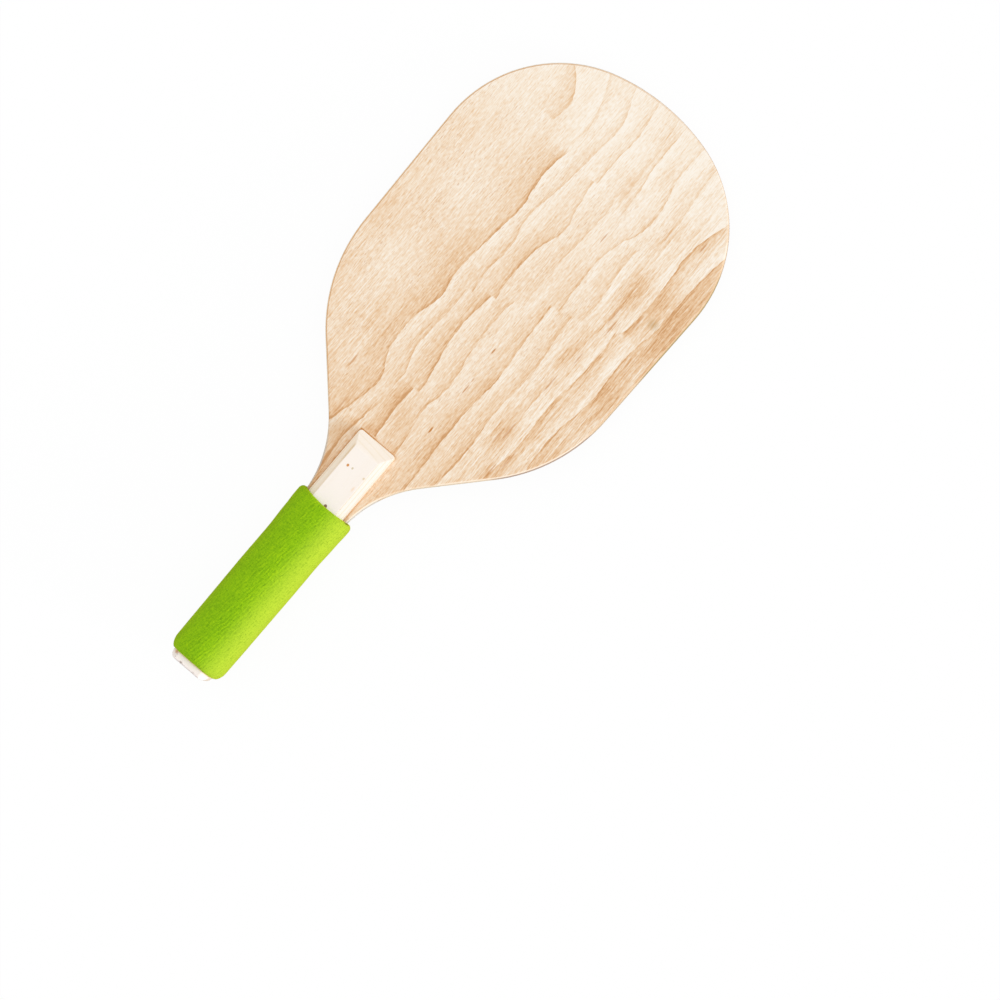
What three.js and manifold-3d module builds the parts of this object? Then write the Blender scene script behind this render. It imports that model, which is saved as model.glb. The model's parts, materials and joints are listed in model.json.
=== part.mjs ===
// A wooden frescobol (beach tennis) racket.
//
// The blade is a sheet of five-ply beech plywood. Its tang runs the whole length of the handle, and a solid
// pale-wood cheek is glued to each side of it. A foam tube is stretched over the handle. It leaves the wood
// bare at the butt, and the noses of the cheeks bare at the throat.
//
// Millimetres. +X runs from the butt to the crown of the head, +Z is square to the front face, and the
// origin is the centre of the butt's end face.

import * as THREE from "three";
import { mergeVertices } from "three/addons/utils/BufferGeometryUtils.js";
import Module from "manifold-3d";

// Outline of the blade
const overallLength = 440; // butt to crown
const headWidth = 191.6; // at the widest place
const cornerRadius = 83.5; // where the crown turns into the sides
const crownRise = 1.6; // that the crown's middle stands proud of those corners
const sideTaperAngle = 1.1; // degrees that each side closes in towards the shoulder
const shoulderRadius = 104; // where a side turns into the flank
const flankAngle = 43; // degrees between the flank and the handle
const throatRadius = 75; // hollow curve from the flank into the tang
const throatDistance = 150; // from the butt to where the lines of flank and tang meet
const throatWidth = 32; // of the tang at that place
const handleWidth = 27; // of the tang and the cheeks at the butt
const buttCornerRadius = 4; // rounded corners of the butt, seen from above

// Plywood
const faceVeneerThickness = 1.5;
const crossbandThickness = 1.75;
const coreVeneerThickness = 1.5;
const edgeEasing = 1.2; // sanded round along the rim of each face
const easingLimitShare = 0.9; // of the face veneer that this round may take
const easingRun = 24; // to either side of the foam's mouth, over which the round fades out

// Cheeks
const cheekLength = 176; // from the butt to the nose
const cheekThickness = 9;
const cheekChamfer = 4.6; // along both outer edges
const noseBevelLength = 9.3;
const noseBevelDrop = 5.4;
const noseCornerRadius = 1.8; // seen from above
const bevelEasing = 8; // sanded round where the bevel meets the outer face
const arrisEasing = 0.8; // sanded round along the chamfers' edges
const buttEasing = 1.4; // sanded round over the butt's edge

// Foam tube
const bareButtLength = 5; // of wood that shows past the foam
const gripLength = 121.5; // along the middle of its front
const foamWall = 5.2; // over the narrowest wood
const foamClearance = 0.3; // between the foam and the wood
const foamSquareness = 2.3; // exponent of the outer section: 2 is an ellipse, and more is squarer
const buttLipLength = 4.8; // rounded end at the butt
const mouthLipLength = 3.2; // rounded end at the throat
const lipWallShare = 0.8; // of the wall that a rounded end takes
const mouthSweep = 1.6; // that the widening tang pushes the sides of the mouth forward
const mouthSweepRun = 26; // of the tube's end that this push bends

// Facets
const buttCornerSteps = 3;
const throatSteps = 12;
const shoulderSteps = 16;
const cornerSteps = 22;
const crownSteps = 8;
const edgeEasingSteps = 3;
const cheekEasingSteps = 3;
const lipSteps = 5;
const gripSteps = 9;
const sectionSteps = [2, 3, 8, 3, 2, 4]; // along each stretch of half the foam's section
const cutOverrun = 5; // that a cutting profile runs past the wood

const bladeThickness = 2 * (faceVeneerThickness + crossbandThickness) + coreVeneerThickness;
const handleThickness = bladeThickness + 2 * cheekThickness;
const foamStart = bareButtLength;
const foamEnd = bareButtLength + gripLength;

const wasm = await Module();
wasm.setup();

const point = (x, y) => new THREE.Vector2(x, y);
const radians = THREE.MathUtils.degToRad;
const quarterTurn = Math.PI / 2;

// Points on an arc, from one angle to another, both ends included.
function arc(centre, radius, from, to, steps) {
  return Array.from({ length: steps + 1 }, (_, i) => {
    const angle = from + ((to - from) * i) / steps;
    return point(centre.x + radius * Math.cos(angle), centre.y + radius * Math.sin(angle));
  });
}

// Points that round a corner of a line, to either hand. The round takes at most half of each side.
function roundedCorner(before, corner, after, radius, steps) {
  const back = before.clone().sub(corner);
  const ahead = after.clone().sub(corner);
  const room = Math.min(back.length(), ahead.length()) / 2;
  back.normalize();
  ahead.normalize();
  const halfAngle = Math.acos(THREE.MathUtils.clamp(back.dot(ahead), -1, 1)) / 2;
  const reach = Math.min(radius / Math.tan(halfAngle), room);
  const start = corner.clone().addScaledVector(back, reach);
  const end = corner.clone().addScaledVector(ahead, reach);
  const toCentre = back.clone().add(ahead).normalize();
  const centre = corner.clone().addScaledVector(toCentre, reach / Math.cos(halfAngle));
  const from = Math.atan2(start.y - centre.y, start.x - centre.x);
  let turn = Math.atan2(end.y - centre.y, end.x - centre.x) - from;
  turn -= 2 * Math.PI * Math.round(turn / (2 * Math.PI));
  return arc(centre, centre.distanceTo(start), from, from + turn, steps);
}

// Closed outline whose corners are [x, y, radius].
function roundedShape(corners, steps) {
  const places = corners.map(([x, y]) => point(x, y));
  return new THREE.Shape(
    corners.flatMap(([, , radius], i) => {
      const before = places.at(i - 1);
      const after = places[(i + 1) % places.length];
      return radius > 0 ? roundedCorner(before, places[i], after, radius, steps) : [places[i]];
    }),
  );
}

// The edge of the blade on its +Y side, from the butt to the crown. Rounded corners join the straight tang,
// flank and side, and the head ends in a corner arc and a flatter crown arc that run into each other.
function bladeEdge() {
  const corner = Math.min(cornerRadius, headWidth / 2 - 2 * crownRise);
  const cornerCentre = point(overallLength - crownRise - corner, headWidth / 2 - corner);
  const crown = corner + (cornerCentre.y ** 2 + crownRise ** 2) / (2 * crownRise);
  const crownCentre = point(overallLength - crown, 0);
  const crownAngle = Math.atan2(cornerCentre.y, cornerCentre.x - crownCentre.x);
  const sideAngle = quarterTurn + radians(sideTaperAngle);
  const cornerArc = arc(cornerCentre, corner, sideAngle, crownAngle, cornerSteps);
  const crownArc = arc(crownCentre, crown, crownAngle, 0, crownSteps).slice(1);

  const butt = point(0, handleWidth / 2);
  const throat = point(throatDistance, throatWidth / 2);
  const sideEnd = cornerArc[0];
  const flankSlope = Math.tan(radians(flankAngle));
  const sideSlope = Math.tan(radians(sideTaperAngle));
  const sideLift = sideEnd.y - throat.y - sideSlope * (sideEnd.x - throat.x);
  const shoulderRun = sideLift / (flankSlope - sideSlope);
  const shoulder = point(throat.x + shoulderRun, throat.y + flankSlope * shoulderRun);

  return [
    ...roundedCorner(point(0, 0), butt, throat, buttCornerRadius, buttCornerSteps),
    ...roundedCorner(butt, throat, shoulder, throatRadius, throatSteps),
    ...roundedCorner(throat, shoulder, sideEnd, shoulderRadius, shoulderSteps),
    ...cornerArc,
    ...crownArc,
  ];
}

const edge = bladeEdge();
const tip = edge.length - 1;

// Half the width of the wood at a distance from the butt: the tang's, or the cheeks' where they are wider.
function woodHalfWidth(x) {
  const next = Math.max(1, edge.findIndex((place) => place.x >= x));
  const [a, b] = [edge[next - 1], edge[next]];
  return Math.max(handleWidth / 2, a.y + ((b.y - a.y) * (x - a.x)) / (b.x - a.x));
}

// How far each point of the edge moves in for the full round of the rim, square to the edge.
const easingMoves = edge.map((place, i) => {
  const along = edge[Math.min(i + 1, tip)].clone().sub(edge[Math.max(i - 1, 0)]).normalize();
  const inward = i < tip ? point(along.y, -along.x) : point(-1, 0);
  const share = THREE.MathUtils.smoothstep(place.x, foamEnd - easingRun, foamEnd + easingRun);
  return inward.multiplyScalar(share * Math.min(edgeEasing, easingLimitShare * faceVeneerThickness));
});

function bufferGeometry(positions, faces) {
  const geometry = new THREE.BufferGeometry();
  geometry.setAttribute("position", new THREE.Float32BufferAttribute(positions, 3));
  geometry.setIndex(faces);
  return geometry.toNonIndexed();
}

// Faces between rings of equally many points, each ring the next one out along the surface.
function wallFaces(ringCount, ringLength, closed) {
  const faces = [];
  for (let ring = 0; ring < (closed ? ringCount : ringCount - 1); ring++) {
    const [low, high] = [ring * ringLength, ((ring + 1) % ringCount) * ringLength];
    for (let i = 0; i < ringLength; i++) {
      const j = (i + 1) % ringLength;
      faces.push(low + i, low + j, high + j, low + i, high + j, high + i);
    }
  }
  return faces;
}

// One veneer of the blade. Each level is [height, share of the rim's round], from the bottom up. Every
// level repeats the blade's outline, and the two flat faces are strips from edge to edge.
function veneerGeometry(levels) {
  const ringLength = 2 * tip + 1;
  const top = (levels.length - 1) * ringLength;
  const positions = levels.flatMap(([z, share]) => {
    const eased = edge.map((place, i) => place.clone().addScaledVector(easingMoves[i], share));
    const lower = eased.map((place) => [place.x, -place.y, z]);
    const upper = eased.slice(0, tip).map((place) => [place.x, place.y, z]);
    return [...lower, ...upper.reverse()].flat();
  });
  const faces = wallFaces(levels.length, ringLength, false);
  for (let i = 0; i < tip; i++) {
    const [low, lowNext, highNext, high] = [i, i + 1, ringLength - 2 - i, ringLength - 1 - i];
    faces.push(top + low, top + lowNext, top + high, high, lowNext, low);
    if (lowNext < tip) {
      faces.push(top + lowNext, top + highNext, top + high, high, highNext, lowNext);
    }
  }
  return bufferGeometry(positions, faces);
}

// A veneer with a square rim: the crossbands and the core.
function innerVeneer(thickness) {
  return veneerGeometry([
    [0, 0],
    [thickness, 0],
  ]);
}

// A face veneer, whose outer rim is sanded round.
function faceVeneer() {
  const round = Math.min(edgeEasing, easingLimitShare * faceVeneerThickness);
  const levels = [[0, 0]];
  for (let i = 0; i <= edgeEasingSteps; i++) {
    const angle = (quarterTurn * i) / edgeEasingSteps;
    levels.push([faceVeneerThickness - round * (1 - Math.sin(angle)), 1 - Math.cos(angle)]);
  }
  return veneerGeometry(levels);
}

// A profile extruded from its start and turned to the given axes, as a solid that can be cut.
function profileSolid(shape, start, depth, xAxis, yAxis, zAxis) {
  const geometry = new THREE.ExtrudeGeometry(shape, { depth, bevelEnabled: false });
  geometry.translate(0, 0, start);
  geometry.applyMatrix4(new THREE.Matrix4().makeBasis(xAxis, yAxis, zAxis));
  geometry.deleteAttribute("normal");
  geometry.deleteAttribute("uv");
  const merged = mergeVertices(geometry);
  return new wasm.Manifold(
    new wasm.Mesh({
      numProp: 3,
      vertProperties: merged.attributes.position.array,
      triVerts: new Uint32Array(merged.index.array),
    }),
  );
}

// A cheek that lies on z = 0: the wood that its end section, its plan and its side profile share.
function cheekGeometry() {
  const alongX = new THREE.Vector3(1, 0, 0);
  const alongY = new THREE.Vector3(0, 1, 0);
  const alongZ = new THREE.Vector3(0, 0, 1);
  const half = handleWidth / 2;
  const endSection = roundedShape(
    [
      [-half, 0, 0],
      [half, 0, 0],
      [half, cheekThickness - cheekChamfer, arrisEasing],
      [half - cheekChamfer, cheekThickness, arrisEasing],
      [cheekChamfer - half, cheekThickness, arrisEasing],
      [-half, cheekThickness - cheekChamfer, arrisEasing],
    ],
    cheekEasingSteps,
  );
  const plan = roundedShape(
    [
      [0, -half, buttCornerRadius],
      [cheekLength, -half, noseCornerRadius],
      [cheekLength, half, noseCornerRadius],
      [0, half, buttCornerRadius],
    ],
    cheekEasingSteps,
  );
  const side = roundedShape(
    [
      [0, -cutOverrun, 0],
      [cheekLength, -cutOverrun, 0],
      [cheekLength, cheekThickness - noseBevelDrop, arrisEasing],
      [cheekLength - noseBevelLength, cheekThickness, bevelEasing],
      [0, cheekThickness, buttEasing],
    ],
    cheekEasingSteps,
  );
  const length = cheekLength + 2 * cutOverrun;
  const height = cheekThickness + 2 * cutOverrun;
  const width = handleWidth + 2 * cutOverrun;
  const wood = profileSolid(endSection, -cutOverrun, length, alongY, alongZ, alongX)
    .intersect(profileSolid(plan, -cutOverrun, height, alongX, alongY, alongZ))
    .intersect(profileSolid(side, -width / 2, width, alongX, alongZ, alongY.clone().negate()));
  const mesh = wood.getMesh();
  return bufferGeometry(Array.from(mesh.vertProperties), Array.from(mesh.triVerts));
}

// The bore of the foam at a distance from the butt, as points (y, z) round the handle: the wood's section
// with the clearance, bridged from the tang's corner to the cheek's.
function boreSection(x) {
  const half = handleWidth / 2;
  const mitre = foamClearance * Math.tan(quarterTurn / 4);
  const tangSide = woodHalfWidth(x) + foamClearance;
  const tangCorner = bladeThickness / 2 + foamClearance;
  const corners = [
    point(tangSide, tangCorner),
    point(half + foamClearance, handleThickness / 2 - cheekChamfer + mitre),
    point(half - cheekChamfer + mitre, handleThickness / 2 + foamClearance),
  ];
  const mirrored = corners.map((corner) => point(-corner.x, corner.y)).reverse();
  const stretches = [...corners, ...mirrored, point(-tangSide, -tangCorner)];
  const halfRing = sectionSteps.flatMap((steps, i) => {
    const [from, to] = [stretches[i], stretches[i + 1]];
    return Array.from({ length: steps }, (_, step) => from.clone().lerp(to, step / steps));
  });
  return [...halfRing, ...halfRing.map((place) => place.clone().negate())];
}

// One ring of the foam at a distance from the butt, at a share of its wall: 0 is the bore, 1 the outside.
// The foam thins where wider wood stretches it, and the sides of its mouth are pushed forward.
function foamRing(x, wallShare) {
  const sweep = mouthSweep * THREE.MathUtils.smoothstep(x, foamEnd - mouthSweepRun, foamEnd);
  const halfHeight = handleThickness / 2 + foamClearance + foamWall;
  return boreSection(x).flatMap((place, i) => {
    const sweptX = x + sweep * (place.x / place.length()) ** 2;
    const bore = boreSection(sweptX)[i];
    const woodHalf = woodHalfWidth(sweptX);
    const halfWidth = woodHalf + foamClearance + foamWall * (handleWidth / 2 / woodHalf) ** 2;
    const [across, up] = [Math.abs(bore.x) / halfWidth, Math.abs(bore.y) / halfHeight];
    const toOutside = (across ** foamSquareness + up ** foamSquareness) ** (-1 / foamSquareness);
    const outward = 1 + (toOutside - 1) * wallShare;
    return [sweptX, bore.x * outward, bore.y * outward];
  });
}

// Places and wall shares of the rings that round one end of the foam. A negative length rounds the far end.
function lipStations(end, length) {
  return Array.from({ length: lipSteps }, (_, i) => {
    const angle = (quarterTurn * i) / lipSteps;
    return [end + length * (1 - Math.cos(angle)), 1 - lipWallShare * (1 - Math.sin(angle))];
  });
}

// The foam tube, lofted through rings: forward along its outside and back along its bore.
function gripGeometry() {
  const [bodyStart, bodyEnd] = [foamStart + buttLipLength, foamEnd - mouthLipLength];
  const body = Array.from({ length: gripSteps + 1 }, (_, i) => [
    bodyStart + ((bodyEnd - bodyStart) * i) / gripSteps,
    1,
  ]);
  const outside = [
    ...lipStations(foamStart, buttLipLength),
    ...body,
    ...lipStations(foamEnd, -mouthLipLength).reverse(),
  ];
  const inside = outside.map(([x]) => [x, 0]).reverse();
  const rings = [...outside, ...inside].map(([x, wallShare]) => foamRing(x, wallShare));
  return bufferGeometry(rings.flat(), wallFaces(rings.length, rings[0].length / 3, true));
}

const beech = new THREE.MeshStandardMaterial({ color: 0xf1d9bb, roughness: 0.55, metalness: 0 });
const crossGrain = new THREE.MeshStandardMaterial({ color: 0xd9b48a, roughness: 0.7, metalness: 0 });
const paleWood = new THREE.MeshStandardMaterial({ color: 0xfbf1e4, roughness: 0.6, metalness: 0 });
const limeFoam = new THREE.MeshStandardMaterial({ color: 0x94c61c, roughness: 0.9, metalness: 0 });

// A piece at a height over the blade's middle plane. A back piece is its front twin turned over.
function piece(name, geometry, material, height, turnedOver = false) {
  const mesh = new THREE.Mesh(geometry, material);
  mesh.name = name;
  mesh.position.z = turnedOver ? -height : height;
  mesh.rotation.x = turnedOver ? Math.PI : 0;
  return mesh;
}

function racket() {
  const group = new THREE.Group();
  const crossbandHeight = coreVeneerThickness / 2;
  const faceHeight = crossbandHeight + crossbandThickness;
  const cheekHeight = bladeThickness / 2;
  group.add(
    piece("front_face_veneer", faceVeneer(), beech, faceHeight),
    piece("front_crossband", innerVeneer(crossbandThickness), crossGrain, crossbandHeight),
    piece("core_veneer", innerVeneer(coreVeneerThickness), beech, -crossbandHeight),
    piece("back_crossband", innerVeneer(crossbandThickness), crossGrain, crossbandHeight, true),
    piece("back_face_veneer", faceVeneer(), beech, faceHeight, true),
    piece("front_cheek", cheekGeometry(), paleWood, cheekHeight),
    piece("back_cheek", cheekGeometry(), paleWood, cheekHeight, true),
    piece("foam_grip", gripGeometry(), limeFoam, 0),
  );
  return group;
}

export default racket();
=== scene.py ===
import json
from math import cos, pi, radians, sin, tau

import bpy
from mathutils import Matrix, Vector, noise

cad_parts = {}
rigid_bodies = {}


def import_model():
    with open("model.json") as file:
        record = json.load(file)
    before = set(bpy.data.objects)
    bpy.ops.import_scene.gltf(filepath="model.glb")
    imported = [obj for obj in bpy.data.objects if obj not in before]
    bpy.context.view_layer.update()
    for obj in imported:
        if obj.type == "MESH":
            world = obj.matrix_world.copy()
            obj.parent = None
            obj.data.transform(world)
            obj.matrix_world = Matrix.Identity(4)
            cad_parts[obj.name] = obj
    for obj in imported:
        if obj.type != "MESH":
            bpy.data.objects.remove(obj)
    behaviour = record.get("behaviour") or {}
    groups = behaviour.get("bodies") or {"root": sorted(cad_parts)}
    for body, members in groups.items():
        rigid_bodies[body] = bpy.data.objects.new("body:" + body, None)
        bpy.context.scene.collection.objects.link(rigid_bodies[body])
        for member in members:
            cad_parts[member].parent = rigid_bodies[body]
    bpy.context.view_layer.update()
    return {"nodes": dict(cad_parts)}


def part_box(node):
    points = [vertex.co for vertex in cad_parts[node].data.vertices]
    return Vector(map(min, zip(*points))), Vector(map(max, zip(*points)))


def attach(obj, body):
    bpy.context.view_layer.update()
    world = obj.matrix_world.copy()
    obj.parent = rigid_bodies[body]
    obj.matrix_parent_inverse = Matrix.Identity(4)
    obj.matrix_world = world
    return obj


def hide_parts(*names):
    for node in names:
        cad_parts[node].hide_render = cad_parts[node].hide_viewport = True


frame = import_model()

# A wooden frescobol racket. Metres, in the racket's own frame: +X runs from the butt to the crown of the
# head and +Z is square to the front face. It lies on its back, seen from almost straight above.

MM = 0.001

# The wood
BLADE_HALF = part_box("front_face_veneer")[1][2]
FACE_PLY_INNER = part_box("front_face_veneer")[0][2]
RIM_ROUND = 1.2 * MM
RIM_ROUND_STEPS = 6
RIM_ROUND_START = 103 * MM
RIM_ROUND_FULL = 151 * MM
PLY_MARGIN = RIM_ROUND / 4
ARRIS_ROUND = 0.35 * MM
ARRIS_ANGLE = radians(20)
ARRIS_STEPS = 4
NOSE_ROUND = 1.8 * MM
NOSE_START = 166.7 * MM
SMOOTH_ANGLE = radians(38)
FLAT_ANGLE = radians(0.4)
WELD = 2e-6

# The foam sleeve
SLEEVE_START = 5 * MM
SLEEVE_END = 126.5 * MM
SLEEVE_WALL = 5.2 * MM
SLEEVE_SLACK = 0.3 * MM
SLEEVE_SQUARENESS = 2.3
SLEEVE_AROUND = 440
SLEEVE_ALONG = 170
LIP_STEPS = 9
BORE_STEPS = 16
SLEEVE_SMOOTH_ANGLE = radians(60)
BUTT_LIP = 6.5 * MM
MOUTH_LIP = 3.2 * MM
LIP_SHARE = 0.8
MOUTH_SWEEP = 1.35 * MM
MOUTH_SWEEP_RUN = 26 * MM
MOUTH_SKEW = 0.2

# Places along the sleeve, and how much wider than even it is there on each side, in millimetres
SLEEVE_SWELL = [
    (5, -0.8), (13, -0.45), (30, -0.35), (70, -0.3), (95, -0.6), (113, -0.1), (121, 0.2), (129, 0),
]

# The wood inside the sleeve
HANDLE_HALF_WIDTH = 13.5 * MM
HANDLE_HALF_HEIGHT = 13 * MM
CHEEK_CHAMFER = 4.6 * MM
MITRE_SHARE = 0.414  # the tangent of half the chamfer's 45 degrees
TANG_TAPER = 2.5 / 150
THROAT_START = 121.2 * MM
THROAT_RADIUS = 75 * MM

# The folds in the sleeve's mesh. Each noise has its lengths along and across the handle in metres, with a
# shift that sets it apart, and the height of its folds in millimetres. The creases wander by BEND_SIZE,
# which is in metres.
SWELL_NOISE, SWELL_HEIGHT = (0.035, 0.02, 5), 0.09
CREASE_NOISE, CREASE_HEIGHT, CREASE_MIDDLE = (0.0055, 0.0011, 0), 0.05, 0.3
FOLD_NOISE, FOLD_HEIGHT = (0.011, 0.0032, 3), 0.03
BEND_NOISE, BEND_SIZE = (0.012, 0.008, 9), 0.0012

# How much the folds twist round the handle, in radians per millimetre, and how many lie around it in the
# foam's finish
FOLD_TWIST = 0.15 / 18
FOLDS_AROUND = 54

# Places and sizes that the finishes use, in millimetres
FACE_HEIGHT = 4
GLUE_INNER, GLUE_OUTER = 0.75, 2.5
CHEEK_HALF = 13.5
CHEEK_END = 176
CHEEK_LAYER = 2.05
CHEEK_LINE = 12.5
CHEEK_BROW = 9.4
# Painted shadow in the sleeve's mouth: its centre and half lengths in millimetres
MOUTH_SHADOW_PLACE, MOUTH_SHADOW_SIZE = (127.2, -16.6, 5), (1.3, 2.2, 7)
PATCH_DEPTH, MARK_DEPTH = 30, 3

# The straight-grained back, in millimetres: how wide its growth rings are, how far their middle lies
# towards -Y, the place along the blade where they have that width, and the share of it that each
# millimetre adds
BACK_RING_WIDTH, BACK_MIDDLE = 7.4, 3
FAN_PLACE, FAN = 170, 0.00135

# How deep the relief of each finish is
FACE_RELIEF = 0.07 * MM
EDGE_RELIEF = 0.12 * MM
CHEEK_RELIEF = 0.08 * MM
FOAM_RELIEF = 0.26 * MM

# How far marks reach from the edge or line that they follow, in millimetres: each pair is the distance
# where a mark begins and the distance where it is complete
BESIDE_REACH, CLOSE_REACH = (3.0, 0.6), (1.4, 0.5)
CONTACT_SHADE_REACH = (1.0, 0.2)
CORNER_REACH = (1.8, 0.4)
GLUE_REACH = (0.12, 0.03)
CHEEK_LINE_REACH = (0.45, 0.15)
BROW_REACH = (0.9, 0.4)

# Where the finishes change along the racket (X) and across it (Y), in millimetres: each pair is the place
# where a change begins and the place where it is complete
CROWN_X = (396, 376)
SHOULDER_X, SHOULDER_Y = (262, 225), (30, 46)
STREAKED_Y = (-36, -50)
TIP_X = (300, 425)
THROAT_X = (280, 150)
FLECKED_Y = (24, 40)
CHEEK_SHADE_AND_STAIN_X = (100, 120)
BESIDE_X, BESIDE_Y = (178, 174), (0, 5)
CONTACT_SHADE_Y = (-15, -11)
CORNER_X, CORNER_Y = (150, 132), (-8, -12)
SHADED_CREST_X, SHADED_CREST_FADE_X = (160, 200), (440, 390)
PALE_X = (166, 190)
SHADOWED_THROAT_X = (172, 150)
NOSE_LOW_X, NOSE_HIGH_X = (148, 160), (186, 174)
HIGHLIGHT_X = (264, 250)
ROUND_SHADE_X, ROUND_SHADE_FADE_X = (256, 266), (388, 376)
TANG_END_X = (10, 5)
CHEEK_LINE_X = (170, 160)
BROW_X, BROW_FADE_X = (150, 160), (169, 165)
MOUTH_LIGHT_X = (135, 127)
BUTT_X = (9, 3)
FOAM_EDGE_LOW_X, FOAM_EDGE_HIGH_X = (3.9, 4.7), (9, 6)
WRINKLED_FAR_Y, WRINKLED_NEAR_Y = (10, 4), (-13, -7)
LIT_SIDE_Y = (-1, -19)

# The view
ROLL = radians(49.7)
VIEW_CENTRE = (196.93 * MM, -76.88 * MM, 0)
VIEW_WIDTH = 594.8 * MM
VIEW_DISTANCE = 2.5
VIEW_TILT = radians(6.1)
SENSOR = 36
FLOOR_TILT = radians(2.61)
FLOOR_PLACE = (121 * MM, 0, -18.75 * MM)
FLOOR_SIZE = 6

# The light
WHITE = (1.0, 1.0, 1.0, 1.0)
SKY_STRENGTH = 0.915
KEY_STRENGTH = 0.5
KEY_DIRECTION = (-0.22, 1.0, -0.18)
KEY_SPREAD = radians(14)
FLOOR_GREY = (0.35, 0.35, 0.35, 1.0)
FLOOR_GLOW = 0.95


def add_camera():
    """A far camera above the blade, a little to its -Y side, rolled so that the handle runs down left."""
    data = bpy.data.cameras.new("camera")
    data.sensor_width, data.lens = SENSOR, SENSOR * VIEW_DISTANCE / VIEW_WIDTH
    camera = bpy.data.objects.new("camera", data)
    bpy.context.scene.collection.objects.link(camera)
    turn = Matrix.Rotation(VIEW_TILT, 4, "X") @ Matrix.Rotation(-ROLL, 4, "Z")
    back = Matrix.Translation((0, 0, VIEW_DISTANCE))
    camera.matrix_world = Matrix.Translation(VIEW_CENTRE) @ turn @ back
    bpy.context.scene.camera = camera


class Signal:
    """A shader socket. Python's operators on it add Math nodes."""

    def __init__(self, finish, socket):
        self.finish, self.socket = finish, socket

    def pick(self, output):
        return Signal(self.finish, self.socket.node.outputs[output])

    def math(self, operation, *values, clamp=False):
        settings = {"operation": operation, "use_clamp": clamp}
        return self.finish.node("ShaderNodeMath", settings, dict(enumerate(values)))

    def __add__(self, other):
        return self.math("ADD", self, other)

    def __radd__(self, other):
        return self.math("ADD", other, self)

    def __sub__(self, other):
        return self.math("SUBTRACT", self, other)

    def __rsub__(self, other):
        return self.math("SUBTRACT", other, self)

    def __mul__(self, other):
        return self.math("MULTIPLY", self, other)

    def __rmul__(self, other):
        return self.math("MULTIPLY", other, self)

    def __truediv__(self, other):
        return self.math("DIVIDE", self, other)

    def __rtruediv__(self, other):
        return self.math("DIVIDE", other, self)

    def __pow__(self, other):
        return self.math("POWER", self, other)

    def __abs__(self):
        return self.math("ABSOLUTE", self)

    def clamped(self):
        return self.math("ADD", self, 0.0, clamp=True)

    def fraction(self):
        return self.math("FRACT", self)

    def smaller(self, other):
        return self.math("MINIMUM", self, other)

    def larger(self, other):
        return self.math("MAXIMUM", self, other)

    def between(self, low, high):
        """0 below low, 1 above high and a smooth step between. A low above high turns it round."""
        turned = low > high
        settings = {"interpolation_type": "SMOOTHSTEP"}
        values = {0: self, 1: min(low, high), 2: max(low, high), 3: float(turned), 4: float(not turned)}
        return self.finish.node("ShaderNodeMapRange", settings, values)


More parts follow.
